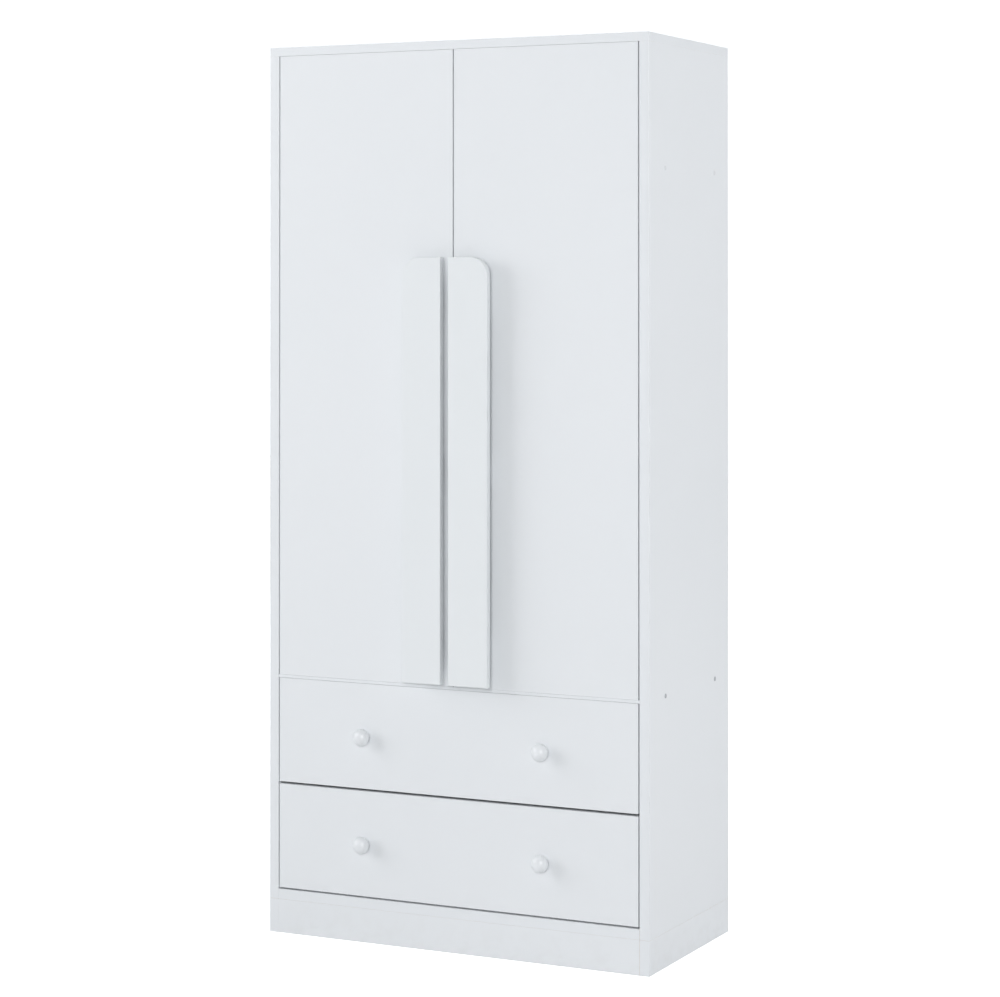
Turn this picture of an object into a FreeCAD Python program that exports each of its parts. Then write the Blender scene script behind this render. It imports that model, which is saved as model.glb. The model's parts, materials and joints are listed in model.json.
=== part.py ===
import FreeCAD, Part
import os
import re
import Sketcher
from FreeCAD import Rotation, Vector

# Two-door wardrobe with two drawers below the doors, in millimetres.
# +Z is up, +Y runs from the doors to the back, and the origin is at the middle of the
# bounding box's base.  Everything left of the middle is drawn once and mirrored.

SIZES = {
    # carcass
    "height": 1930, "width": 900, "depth": 443,
    "top_t": 19, "side_t": 22, "bottom_t": 22, "shelf_t": 15, "back_t": 3,
    "back_margin": 3, "hat_space": 250, "shelf_setback": 15,
    # plinth
    "plinth_h": 73, "plinth_t": 15,
    # fronts and the gaps round them
    "door_t": 15, "reveal": 3, "floor_gap": 3.8, "drawer_gap": 5, "door_top_gap": 0.35,
    "drawer_front_h": 225.5, "divider_gap": 7.2, "divider_lap": 1.4, "shelf_clearance": 1.5,
    "strip_top_gap": 0.35, "strip_low_gap": 0.35, "strip_setback": 1,
    # handle boards on their blocks
    "handle_proud": 43, "handle_t": 15, "handle_w": 92, "handle_len": 900,
    "handle_inset": 7.5, "handle_rise": 8, "handle_corner": 40, "handle_edge": 2.5,
    "block_w": 36, "block_h": 60, "block_margin": 50, "block_screw_pitch": 30,
    # hinges: cup, pin and cranked arm, measured from the door's outer front edge
    "hinge_margin": 100, "cup_r": 17.5, "cup_edge": 5, "cup_floor": 3, "cup_wall": 1,
    "cup_flange": 0.8, "cup_flange_w": 3, "pin_r": 1.5, "pin_x": 13, "pin_y": 7.6, "eye_r": 3,
    "door_swing": 95, "arm_t": 2, "arm_h": 8, "arm_play": 0.5, "arm_inset": 7, "arm_back": 19,
    "arm_tail": 6, "plate_t": 2, "plate_h": 36, "plate_w": 30, "plate_gap": 10,
    "notch_side": 6.6, "notch_play": 2,
    # drawer boxes
    "box_t": 12, "box_h": 150, "box_gap": 45, "box_rise": 25, "sheet_t": 3,
    "groove_depth": 6, "groove_rise": 10,
    # runners
    "runner_space": 13, "runner_h": 45, "runner_t": 1.2, "runner_play": 0.3,
    "runner_gap": 5, "runner_end": 20, "middle_short": 22, "inner_short": 30, "lip_short": 4,
    # knobs
    "knob_x": 211.5, "knob_r": 18.5, "knob_half": 14, "knob_centre": 20.5,
    "knob_neck_r": 7.5, "knob_base_r": 9.5, "knob_base": 5, "knob_thread": 14,
    # hanging rail
    "rail_drop": 50, "rail_shift": 5, "rail_r": 12.5, "rail_wall": 1.2,
    "socket_wall": 2.4, "socket_ear": 6.1, "socket_t": 3, "socket_len": 14, "socket_head_r": 2.5,
    # fastenings
    "screw_r": 2, "screw_head_r": 4, "screw_head": 2.4, "hole_play": 0.15,
    "shelf_screw_len": 50, "shelf_screw_front": 85, "shelf_screw_rear": 80,
    "cap_r": 5, "cap_t": 0.8, "small_r": 1.6, "small_head_r": 3.4, "small_head": 1.4,
    "small_len": 11, "dowel_r": 4, "dowel_len": 30, "dowel_play": 0.1, "dowel_step": 25,
    "cam_r": 7.4, "cam_t": 12.4, "cam_drop": 34, "bolt_r": 3, "nail_r": 1, "nail_head_r": 2.4,
    "nail_len": 16, "nail_head": 0.6, "nail_end": 60,
}

doc = FreeCAD.newDocument("Wardrobe")
sheet = doc.addObject("Spreadsheet::Sheet", "Sizes")
for row, (word, value) in enumerate(SIZES.items(), start=1):
    sheet.set(f"A{row}", word)
    sheet.set(f"B{row}", str(value))
    sheet.setAlias(f"B{row}", word)
doc.recompute()

# Places worked out from the sizes, as expression text
FRONT = "(-(depth - handle_proud) / 2)"
INSIDE = "(width / 2 - side_t)"
CARCASS = "(depth - back_t)"
REAR = f"({FRONT} + {CARCASS})"
FLOOR = "(plinth_h + bottom_t)"
CEILING = "(height - top_t)"
LOWER_FRONT = f"({FLOOR} + floor_gap)"
UPPER_FRONT = f"({LOWER_FRONT} + drawer_front_h + drawer_gap)"
DIVIDER = f"({UPPER_FRONT} + drawer_front_h - divider_lap)"
DOOR_LOW = f"({UPPER_FRONT} + drawer_front_h + divider_gap)"
DOOR_H = f"({CEILING} - door_top_gap - {DOOR_LOW})"
DOOR_W = f"({INSIDE} - 1.5 * reveal)"
DOOR_X = f"(-{INSIDE} + reveal)"
HAT_SHELF = f"({CEILING} - hat_space - shelf_t)"
RAIL_Z = f"({HAT_SHELF} - rail_drop)"
BOX_X = f"({INSIDE} - runner_space)"
BOX_LEN = f"({CARCASS} - door_t - box_gap)"
RUNNER_LEN = f"({CARCASS} - door_t - runner_gap - runner_end)"
LIP = "(runner_space - lip_short)"
HINGE_ZS = (f"({DOOR_LOW} + hinge_margin)", f"({DOOR_LOW} + {DOOR_H} / 2)",
            f"({DOOR_LOW} + {DOOR_H} - hinge_margin)")
BLOCK_DEPTH = "(handle_proud - handle_t)"

# The arm leaves its pin at the angle that clears the cup's rim when the door is fully open
BOWL_R = "(cup_r - dowel_play - cup_wall)"
RIM_X = f"(pin_x - cup_edge - cup_r + sqrt({BOWL_R} ^ 2 - (arm_h / 2) ^ 2) - arm_play)"
RIM_Y = "(door_t + cup_flange - pin_y)"
ARM_ANGLE = (f"(180deg - atan({RIM_Y} / {RIM_X}) - asin(arm_t / 2 / hypot({RIM_X}; {RIM_Y}))"
             " - door_swing * 1deg)")
ARM_REACH = "(cup_edge + 2 * cup_r - arm_inset)"
ARM_BACK = "(door_t + arm_back)"
PLATE_Y = f"({ARM_BACK} + plate_gap)"
HANDLE_X = "(-reveal / 2 - handle_inset - handle_w)"
HANDLE_Z = f"({DOOR_LOW} + handle_rise)"
BLOCK_ZS = (f"({HANDLE_Z} + block_margin)", f"({HANDLE_Z} + (handle_len - block_h) / 2)",
            f"({HANDLE_Z} + handle_len - block_margin - block_h)")

TURNS = {"x": Rotation(Vector(0, 1, 0), 90), "y": Rotation(Vector(1, 0, 0), -90),
         "z": Rotation()}
NAIL_COUNT = 9
parts = []


def formula(text):
    """Names each size's cell in an expression."""
    return re.sub(r"[a-z_]+", lambda w: f"Sizes.{w[0]}" if w[0] in SIZES else w[0], str(text))


def bind(thing, **values):
    """Ties properties to expressions; at= places the object."""
    for axis, value in zip("xyz", values.pop("at", ())):
        thing.setExpression(f"Placement.Base.{axis}", formula(value))
    for name, value in values.items():
        thing.setExpression(name, formula(value))
    return thing


def block(name, at, size):
    """A board: its low corner and its length along X, Y and Z."""
    box = doc.addObject("Part::Box", name)
    return bind(box, at=at, Length=size[0], Width=size[1], Height=size[2])


def rod(name, axis, at, radius, length):
    """A round bar that starts at a point and runs along an axis."""
    bar = doc.addObject("Part::Cylinder", name)
    bar.Placement.Rotation = TURNS[axis]
    return bind(bar, at=at, Radius=radius, Height=length)


def join(name, pieces, kind="Part::MultiFuse"):
    thing = doc.addObject(kind, name)
    if kind == "Part::Compound":
        thing.Links = pieces
    else:
        thing.Shapes = pieces
    return thing


def group(name, pieces):
    """Separate solids that share one name, such as identical fasteners."""
    return join(name, pieces, "Part::Compound")


def carve(name, base, tools):
    cut = doc.addObject("Part::Cut", name)
    cut.Base = base
    cut.Tool = tools[0] if len(tools) == 1 else join(f"{name}_cutters", tools)
    return cut


def mirrored(name, source):
    """The right-hand piece that matches a left-hand one."""
    twin = doc.addObject("Part::Mirroring", name)
    twin.Source = source
    twin.Normal = Vector(1, 0, 0)
    return twin


def part(thing, label=None):
    """Marks a finished sub-part, whose label names its file."""
    thing.Label = label or thing.Label
    parts.append(thing)
    return thing


def outline(name, plane, points, length, at, reverse=False, midplane=False):
    """A body padded from a closed outline of straight lines, each corner tied to the sizes."""
    body = doc.addObject("PartDesign::Body", name)
    sketch = body.newObject("Sketcher::SketchObject", f"{name}_outline")
    origin = next(o for o in body.Origin.OriginFeatures if o.Role == plane)
    sketch.AttachmentSupport = [(origin, "")]
    sketch.MapMode = "FlatFace"
    values = [[float(sketch.evalExpression(formula(c))) for c in point] for point in points]
    count = len(points)
    for i in range(count):
        start, end = values[i], values[(i + 1) % count]
        sketch.addGeometry(Part.LineSegment(Vector(*start, 0), Vector(*end, 0)))
    for i in range(count):
        sketch.addConstraint(Sketcher.Constraint("Coincident", i, 2, (i + 1) % count, 1))
    for i, point in enumerate(points):
        for kind, text, value in zip(("DistanceX", "DistanceY"), point, values[i]):
            index = sketch.addConstraint(Sketcher.Constraint(kind, -1, 1, i, 1, value))
            sketch.setExpression(f"Constraints[{index}]", formula(text))
    pad = body.newObject("PartDesign::Pad", f"{name}_pad")
    pad.Profile = sketch
    pad.Reversed = reverse
    pad.Midplane = midplane
    bind(pad, Length=length)
    return bind(body, at=at)


# ---------------------------------------------------------------- fastenings
def headed_screw(name, axis, at, length, radius="small_r", head_r="small_head_r",
                 head="small_head", head_first=True):
    """A screw whose head sits before (or after) the point and whose shank follows the axis."""
    i = "xyz".index(axis)
    before, after = list(at), list(at)
    before[i] = f"({at[i]} - {head})"
    after[i] = f"({at[i]} - {length})"
    if head_first:
        pieces = [rod(f"{name}_head", axis, before, head_r, head),
                  rod(f"{name}_shank", axis, at, radius, length)]
    else:
        pieces = [rod(f"{name}_head", axis, at, head_r, head),
                  rod(f"{name}_shank", axis, after, radius, length)]
    return join(name, pieces)


def hole(name, axis, at, radius, length):
    return rod(name, axis, at, f"({radius} + hole_play)", length)


side_cuts, top_cuts, bottom_cuts, divider_cuts, hat_cuts = [], [], [], [], []
shelf_screws, caps, dowels, cams, bolts = [], [], [], [], []
OUTSIDE = "(-width / 2)"
SCREW_FRONT = f"({FRONT} + shelf_screw_front)"
SCREW_REAR = f"({REAR} - shelf_screw_rear)"

# Screws through the side panel into the ends of the two fixed shelves, each under a cap
for s, (shelf_z, cuts) in enumerate(((DIVIDER, divider_cuts), (HAT_SHELF, hat_cuts))):
    for n, y in enumerate((SCREW_FRONT, SCREW_REAR)):
        at = (OUTSIDE, y, f"({shelf_z} + shelf_t / 2)")
        sunk = (f"({OUTSIDE} + screw_head)", at[1], at[2])
        shelf_screws.append(headed_screw(f"shelf_screw_{s}{n}", "x", sunk,
                                         "(shelf_screw_len - screw_head)",
                                         "screw_r", "screw_head_r", "screw_head"))
        side_cuts.append(hole(f"shelf_screw_sink_{s}{n}", "x", at, "screw_head_r", "screw_head"))
        side_cuts.append(hole(f"shelf_screw_way_{s}{n}", "x", at, "screw_r", "side_t"))
        cuts.append(hole(f"shelf_screw_end_{s}{n}", "x", (f"(-{INSIDE})", at[1], at[2]),
                         "screw_r", "(shelf_screw_len - side_t + hole_play)"))
        caps.append(rod(f"cap_{s}{n}", "x", (f"({OUTSIDE} - cap_t)", at[1], at[2]),
                        "cap_r", "cap_t"))

# Dowels and cam bolts between the side panel and the top, and dowels at the bottom panel
SIDE_MID = f"(-{INSIDE} - side_t / 2)"
for n, y in enumerate((f"({SCREW_FRONT} + dowel_step)", f"({SCREW_REAR} - dowel_step)")):
    top_dowel = (SIDE_MID, y, f"({CEILING} - 2 * dowel_len / 3)")
    end_dowel = (f"(-{INSIDE} - dowel_len / 3)", y, "(plinth_h + bottom_t / 2)")
    for kind, axis, at, cuts in (("top", "z", top_dowel, top_cuts),
                                 ("bottom", "x", end_dowel, bottom_cuts)):
        dowels.append(rod(f"{kind}_dowel_{n}", axis, at, "dowel_r", "dowel_len"))
        for tools in (cuts, side_cuts):
            tools.append(rod(f"{kind}_dowel_hole_{n}_{len(tools)}", axis, at,
                             "(dowel_r + dowel_play)", "dowel_len"))
for n, y in enumerate((f"({SCREW_FRONT} - dowel_step)", f"({SCREW_REAR} + dowel_step)")):
    foot = f"({CEILING} - cam_drop + cam_r)"
    cams.append(rod(f"cam_{n}", "x", (f"(-{INSIDE} - cam_t)", y, f"({CEILING} - cam_drop)"),
                    "cam_r", "cam_t"))
    side_cuts.append(rod(f"cam_pocket_{n}", "x",
                         (f"(-{INSIDE} - cam_t)", y, f"({CEILING} - cam_drop)"),
                         "(cam_r + dowel_play)", "cam_t"))
    bolt_at = (f"(-{INSIDE} - cam_t / 2)", y, f"({foot} + dowel_play)")
    bolt_len = "(cam_drop - cam_r + top_t / 2)"
    bolts.append(rod(f"cam_bolt_{n}", "z", bolt_at, "bolt_r", f"({bolt_len} - dowel_play)"))
    for tools in (top_cuts, side_cuts):
        tools.append(rod(f"cam_bolt_hole_{n}_{len(tools)}", "z", (bolt_at[0], y, foot),
                         "(bolt_r + dowel_play)", bolt_len))


# ---------------------------------------------------------------- hinges
def hinge_arm(name, z):
    """A cranked strap from the eye in the cup to the plate on the side panel."""
    slope = f"tan({ARM_ANGLE})"
    lift = f"arm_t / 2 / cos({ARM_ANGLE})"
    low_x, high_x = f"({ARM_REACH} + arm_t / 2)", f"({ARM_REACH} - arm_t / 2)"
    back, tail = ARM_BACK, f"({PLATE_Y} + plate_w + arm_tail)"
    skin_low, skin_high = "(plate_t - reveal)", "(plate_t - reveal + arm_t)"
    points = (("pin_x", f"pin_y - {lift}"),
              (low_x, f"pin_y + ({low_x} - pin_x) * {slope} - {lift}"),
              (low_x, f"{back} + arm_t / 2"), (skin_high, f"{back} + arm_t / 2"),
              (skin_high, tail), (skin_low, tail),
              (skin_low, f"{back} - arm_t / 2"), (high_x, f"{back} - arm_t / 2"),
              (high_x, f"pin_y + ({high_x} - pin_x) * {slope} + {lift}"),
              ("pin_x", f"pin_y + {lift}"))
    strap = outline(f"{name}_strap", "XY_Plane", points, "arm_h", (DOOR_X, FRONT, z),
                    midplane=True)
    eye_at = (f"({DOOR_X} + pin_x)", f"({FRONT} + pin_y)", f"({z} - arm_h / 2)")
    eye = rod(f"{name}_eye", "z", eye_at, "eye_r", "arm_h")
    bore = rod(f"{name}_bore", "z", eye_at, "(pin_r + 0.06)", "arm_h")
    return carve(name, join(f"{name}_forging", [strap, eye]), [bore])


def hinge_cup(name, z):
    """A pressed cup with its flange, and the pin that the arm's eye turns on."""
    x, back = f"({DOOR_X} + cup_edge + cup_r)", f"({FRONT} + door_t)"
    floor = f"({FRONT} + cup_floor + dowel_play)"
    shell = join(f"{name}_shell", [
        rod(f"{name}_wall", "y", (x, floor, z), "(cup_r - dowel_play)",
            "(door_t - cup_floor - dowel_play + cup_flange)"),
        rod(f"{name}_flange", "y", (x, back, z), "(cup_r + cup_flange_w)", "cup_flange")])
    hollow = rod(f"{name}_hollow", "y", (x, f"({floor} + cup_wall)", z),
                 BOWL_R, "(door_t + cup_flange)")
    chord = "sqrt(cup_r ^ 2 - (cup_edge + cup_r - pin_x) ^ 2)"
    half_pin = f"({chord} - cup_wall)"
    pin = rod(f"{name}_pin", "z",
              (f"({DOOR_X} + pin_x)", f"({FRONT} + pin_y)", f"({z} - {half_pin})"),
              "pin_r", f"(2 * {half_pin})")
    return join(name, [carve(f"{name}_bowl", shell, [hollow]), pin])


def hinge_plate(name, z):
    """The mounting plate on the side panel, with a screw through each end."""
    y = f"({FRONT} + {PLATE_Y})"
    plate = block(f"{name}_blank", (f"(-{INSIDE})", y, f"({z} - plate_h / 2)"),
                  ("plate_t", "plate_w", "plate_h"))
    holes = []
    for n, up in enumerate(("-1", "1")):
        at = (f"(-{INSIDE} + plate_t)", f"({y} + plate_w / 2)",
              f"({z} + ({up}) * (plate_h / 2 - small_head_r - 2))")
        start = (f"(-{INSIDE} + plate_t - small_len)", at[1], at[2])
        plate_screws.append(headed_screw(f"{name}_screw_{n}", "x", at, "small_len",
                                         head_first=False))
        holes.append(hole(f"{name}_hole_{n}", "x", start, "small_r", "(small_len + plate_t)"))
        side_cuts.append(hole(f"{name}_pilot_{n}", "x", start, "small_r", "small_len"))
    return carve(name, plate, holes)


plates, arms, cups, plate_screws, door_cuts = [], [], [], [], []
for n, z in enumerate(HINGE_ZS):
    plates.append(hinge_plate(f"hinge_plate_{n}", z))
    arms.append(hinge_arm(f"hinge_arm_{n}", z))
    cups.append(hinge_cup(f"hinge_cup_{n}", z))
    door_cuts.append(rod(f"cup_pocket_{n}", "y",
                         (f"({DOOR_X} + cup_edge + cup_r)", f"({FRONT} + cup_floor)", z),
                         "cup_r", "door_t"))

# ---------------------------------------------------------------- doors and handles
block_bodies, handle_screws, handle_cuts = [], [], []
HANDLE_MID = f"({HANDLE_X} + handle_w / 2)"
BACK_OF_DOOR = f"({FRONT} + door_t)"
SCREW_REACH = f"(door_t + {BLOCK_DEPTH} + handle_t * 0.6)"
for n, z in enumerate(BLOCK_ZS):
    blank = block(f"handle_block_{n}_blank",
                  (f"({HANDLE_MID} - block_w / 2)", f"({FRONT} - {BLOCK_DEPTH})", z),
                  ("block_w", BLOCK_DEPTH, "block_h"))
    holes = []
    for m, side in enumerate(("-1", "1")):
        at = (HANDLE_MID, BACK_OF_DOOR, f"({z} + (block_h + ({side}) * block_screw_pitch) / 2)")
        start = (at[0], f"({BACK_OF_DOOR} - {SCREW_REACH})", at[2])
        handle_screws.append(headed_screw(f"handle_screw_{n}{m}", "y", at, SCREW_REACH,
                                          "screw_r", "screw_head_r", "screw_head",
                                          head_first=False))
        for tools in (holes, handle_cuts, door_cuts):
            tools.append(hole(f"handle_screw_way_{n}{m}_{len(tools)}", "y", start,
                              "screw_r", SCREW_REACH))
    block_bodies.append(carve(f"handle_block_{n}", blank, holes))


def handle_board(name):
    """A flat board with one large rounded corner, at the top on its outer side."""
    body = outline(f"{name}_board", "XZ_Plane",
                   (("0", "0"), ("handle_w", "0"), ("handle_w", "handle_len"),
                    ("0", "handle_len")), "handle_t",
                   (HANDLE_X, f"({FRONT} - {BLOCK_DEPTH})", HANDLE_Z))
    doc.recompute()
    pad = body.Tip
    corner = body.newObject("PartDesign::Fillet", f"{name}_corner")
    corner.Base = (pad, [edge_at(pad.Shape, lambda m: m.x < 1 and m.z > SIZES["handle_len"] - 1
                                 and abs(m.y + SIZES["handle_t"] / 2) < 1)])
    bind(corner, Radius="handle_corner")
    doc.recompute()
    face = max(corner.Shape.Faces, key=lambda f: -f.CenterOfMass.y)
    rim = [f"Edge{i}" for i, edge in enumerate(corner.Shape.Edges, start=1)
           if any(edge.isSame(other) for other in face.Edges)]
    soft = body.newObject("PartDesign::Fillet", f"{name}_rim")
    soft.Base = (corner, rim)
    bind(soft, Radius="handle_edge")
    return body


def edge_at(shape, test):
    """The name of the edge whose middle passes a test."""
    for i, edge in enumerate(shape.Edges, start=1):
        if test(edge.BoundBox.Center):
            return f"Edge{i}"
    raise ValueError("no such edge")


left_handle = carve("left_handle", handle_board("handle"), handle_cuts)
left_door = carve("left_door", block("left_door_blank", (DOOR_X, FRONT, DOOR_LOW),
                                     (DOOR_W, "door_t", DOOR_H)), door_cuts)
for word, piece in (("door", left_door), ("hinge_cups", group("left_hinge_cups", cups)),
                    ("handle", left_handle),
                    ("handle_blocks", group("left_handle_blocks", block_bodies)),
                    ("handle_screws", group("left_handle_screws", handle_screws))):
    part(piece, f"left_{word}")
    part(mirrored(f"right_{word}", piece))


def both_sides(name, pieces):
    """Identical hardware of the left and right sides, as one group of separate solids."""
    left = group(f"{name}_left", pieces)
    return part(group(name, [left, mirrored(f"{name}_right", left)]))


# ---------------------------------------------------------------- runners
def channel(name, at, length, skin, half, lip, opens_left=False):
    """A C-shaped rail along Y: its web's outer side is at local x = 0."""
    sign = "-1" if opens_left else "1"
    points = [("0", f"-{half}"), (f"({sign}) * {lip}", f"-{half}"),
              (f"({sign}) * {lip}", f"-({half} - {skin})"),
              (f"({sign}) * {skin}", f"-({half} - {skin})"),
              (f"({sign}) * {skin}", f"({half} - {skin})"),
              (f"({sign}) * {lip}", f"({half} - {skin})"),
              (f"({sign}) * {lip}", half), ("0", half)]
    return outline(name, "XZ_Plane", points, length, at, reverse=True)


RUNNER_Y = f"({FRONT} + door_t + runner_gap)"
outer_rails, runner_screws, nails = [], [], []
drawers = (("lower", LOWER_FRONT), ("upper", UPPER_FRONT))
for word, front_z in drawers:
    mid = f"({front_z} + box_rise + box_h / 2)"
    rail = channel(f"{word}_outer_rail", (f"(-{INSIDE})", RUNNER_Y, mid), RUNNER_LEN,
                   "runner_t", "(runner_h / 2)", LIP)
    holes = []
    for n, along in enumerate(("0.12", "0.88")):
        at = (f"(-{INSIDE} + runner_t)", f"({RUNNER_Y} + {RUNNER_LEN} * {along})", mid)
        start = (f"({at[0]} - small_len)", at[1], mid)
        screw = headed_screw(f"{word}_runner_screw_{n}", "x", at, "small_len",
                             head="(runner_play * 0.8)", head_first=False)
        runner_screws.append(screw)
        holes.append(hole(f"{word}_runner_hole_{n}", "x", start, "small_r", "(2 * small_len)"))
        side_cuts.append(hole(f"{word}_runner_pilot_{n}", "x", start, "small_r", "small_len"))
    outer_rails.append(carve(f"{word}_outer_rail_drilled", rail, holes))


# ---------------------------------------------------------------- drawers
def drawer(word, front_z):
    """One drawer box, its front, its knobs and the moving parts of its runners."""
    back_of_front = f"({FRONT} + door_t)"
    box_z = f"({front_z} + box_rise)"
    sheet_z = f"({box_z} + groove_rise)"
    front_w = f"(2 * ({INSIDE} - reveal))"
    sheet_x = f"({BOX_X} - box_t + groove_depth)"
    sheet_y = f"({back_of_front} - groove_depth)"
    sheet_len = f"({BOX_LEN} + groove_depth - hole_play)"

    def groove(name):
        play = "hole_play"
        return block(name, (f"(-{sheet_x} - {play})", f"({sheet_y} - {play})",
                            f"({sheet_z} - {play})"),
                     (f"(2 * ({sheet_x} + {play}))", f"({sheet_len} + 2 * {play})",
                      f"(sheet_t + 2 * {play})"))

    side = carve(f"{word}_drawer_left_side",
                 block(f"{word}_side_blank", (f"(-{BOX_X})", back_of_front, box_z),
                       ("box_t", BOX_LEN, "box_h")), [groove(f"{word}_side_groove")])
    part(side)
    part(mirrored(f"{word}_drawer_right_side", side))
    part(block(f"{word}_drawer_bottom", (f"(-{sheet_x})", sheet_y, sheet_z),
               (f"(2 * {sheet_x})", sheet_len, "sheet_t")))
    back_low = f"({sheet_z} + sheet_t)"
    part(block(f"{word}_drawer_back",
               (f"(-({BOX_X} - box_t))", f"({back_of_front} + {BOX_LEN} - box_t)", back_low),
               (f"(2 * ({BOX_X} - box_t))", "box_t", f"(box_h - groove_rise - sheet_t)")))

    knob_z = f"({front_z} + drawer_front_h / 2)"
    at = ("(-knob_x)", FRONT, knob_z)
    screw_start = ("(-knob_x)", f"({FRONT} - knob_thread)", knob_z)
    way = hole(f"{word}_knob_screw_way", "y", screw_start, "screw_r", "(knob_thread + door_t)")
    head = doc.addObject("Part::Ellipsoid", f"{word}_knob_head")
    head.Angle1, head.Angle2, head.Angle3 = -90, 90, 360
    bind(head, at=(at[0], f"({FRONT} - knob_centre)", knob_z), Radius1="knob_r",
         Radius2="knob_r", Radius3="knob_half")
    neck = rod(f"{word}_knob_neck", "y", (at[0], f"({FRONT} - knob_centre)", knob_z),
               "knob_neck_r", "knob_centre")
    base = doc.addObject("Part::Cone", f"{word}_knob_base")
    base.Placement.Rotation = TURNS["y"]
    bind(base, at=(at[0], f"({FRONT} - knob_base)", knob_z), Radius1="knob_neck_r",
         Radius2="knob_base_r", Height="knob_base")
    knob = carve(f"{word}_left_knob", join(f"{word}_knob_turned", [head, neck, base]), [way])
    both_sides(f"{word}_drawer_knobs", [knob])
    screw = headed_screw(f"{word}_knob_screw", "y", (at[0], back_of_front, knob_z),
                         "(door_t + knob_thread - 1)", "screw_r", "screw_head_r",
                         "screw_head", head_first=False)
    both_sides(f"{word}_knob_screws", [screw])
    part(carve(f"{word}_drawer_front",
               block(f"{word}_front_blank", (f"(-{front_w} / 2)", FRONT, front_z),
                     (front_w, "door_t", "drawer_front_h")),
               [way, mirrored(f"{word}_knob_way_right", way), groove(f"{word}_front_groove")]))

    mid = f"({box_z} + box_h / 2)"
    step = "(runner_t + runner_play)"
    middle = channel(f"{word}_middle_rail", (f"(-{INSIDE} + {step})", RUNNER_Y, mid),
                     f"({RUNNER_LEN} - middle_short)", "runner_t", f"(runner_h / 2 - {step})", LIP)
    inner = channel(f"{word}_inner_rail", (f"(-{BOX_X})", RUNNER_Y, mid), f"({RUNNER_LEN} - inner_short)",
                    "runner_t", f"(runner_h / 2 - 2 * {step})", LIP, opens_left=True)
    both_sides(f"{word}_middle_rails", [middle])
    both_sides(f"{word}_inner_rails", [inner])


for word, front_z in drawers:
    drawer(word, front_z)

# ---------------------------------------------------------------- hanging rail
RAIL_AT = (f"(-{INSIDE})", f"({FRONT} + {CARCASS} / 2 + rail_shift)", RAIL_Z)
bore_at = (f"(-{INSIDE} + socket_t)", RAIL_AT[1], RAIL_Z)
tube_len = f"(2 * ({INSIDE} - socket_t - hole_play))"
tube_at = (f"({bore_at[0]} + hole_play)", RAIL_AT[1], RAIL_Z)
part(carve("hanging_rail", rod("rail_bar", "x", tube_at, "rail_r", tube_len),
           [rod("rail_hollow", "x", tube_at, "(rail_r - rail_wall)", tube_len)]))
socket_holes, socket_screws = [], []
for n, up in enumerate(("-1", "1")):
    z = f"({RAIL_Z} + ({up}) * (rail_r + socket_wall + socket_ear / 2))"
    at = (bore_at[0], RAIL_AT[1], z)
    start = (f"({bore_at[0]} - small_len)", at[1], z)
    socket_screws.append(headed_screw(f"socket_screw_{n}", "x", at, "small_len",
                                      head_r="socket_head_r", head_first=False))
    socket_holes.append(hole(f"socket_hole_{n}", "x", start, "small_r", "small_len"))
    side_cuts.append(hole(f"socket_pilot_{n}", "x", start, "small_r", "small_len"))
socket = carve("rail_socket", join("socket_casting", [
    rod("socket_flange", "x", RAIL_AT, "(rail_r + socket_wall + socket_ear)", "socket_t"),
    rod("socket_ring", "x", RAIL_AT, "(rail_r + socket_wall)", "(socket_t + socket_len)")]),
    [rod("socket_bore", "x", bore_at, "(rail_r + hole_play)", "socket_len")] + socket_holes)
both_sides("hanging_rail_sockets", [socket])

# ---------------------------------------------------------------- back sheets and nails
nail_holes = []
for n in range(NAIL_COUNT):
    z = f"(plinth_h + nail_end + {n} * (height - plinth_h - 2 * nail_end) / {NAIL_COUNT - 1})"
    at = (SIDE_MID, f"({REAR} + back_t - nail_head)", z)
    start = (at[0], f"({at[1]} - nail_len)", z)
    nails.append(headed_screw(f"nail_{n}", "y", at, "nail_len", "nail_r", "nail_head_r",
                              "nail_head", head_first=False))
    nail_holes.append(hole(f"nail_hole_{n}", "y", start, "nail_r", "nail_len"))
    nail_holes.append(hole(f"nail_seat_{n}", "y", at, "nail_head_r", "nail_head"))
side_cuts.extend(nail_holes)

# ---------------------------------------------------------------- carcass
side_blank = block("side_blank", (OUTSIDE, FRONT, "plinth_h"),
                   ("side_t", CARCASS, f"({CEILING} - plinth_h)"))
left_side = part(carve("left_side_panel", side_blank, side_cuts))
part(mirrored("right_side_panel", left_side))


def with_both(name, blank, cuts):
    """Cuts a middle panel with the left side's tools and their mirror image."""
    left = join(f"{name}_left_cutters", cuts)
    return part(carve(name, blank, [left, mirrored(f"{name}_right_cutters", left)]))


with_both("top_panel", block("top_blank", (OUTSIDE, FRONT, CEILING),
                             ("width", CARCASS, "top_t")), top_cuts)
with_both("bottom_panel", block("bottom_blank", (f"(-{INSIDE})", FRONT, "plinth_h"),
                                (f"(2 * {INSIDE})", CARCASS, "bottom_t")), bottom_cuts)
with_both("upper_shelf", block("upper_shelf_blank",
                               (f"(-{INSIDE})", f"({FRONT} + door_t + shelf_setback)", HAT_SHELF),
                               (f"(2 * {INSIDE})", f"({CARCASS} - door_t - shelf_setback)",
                                "shelf_t")), hat_cuts)
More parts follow.
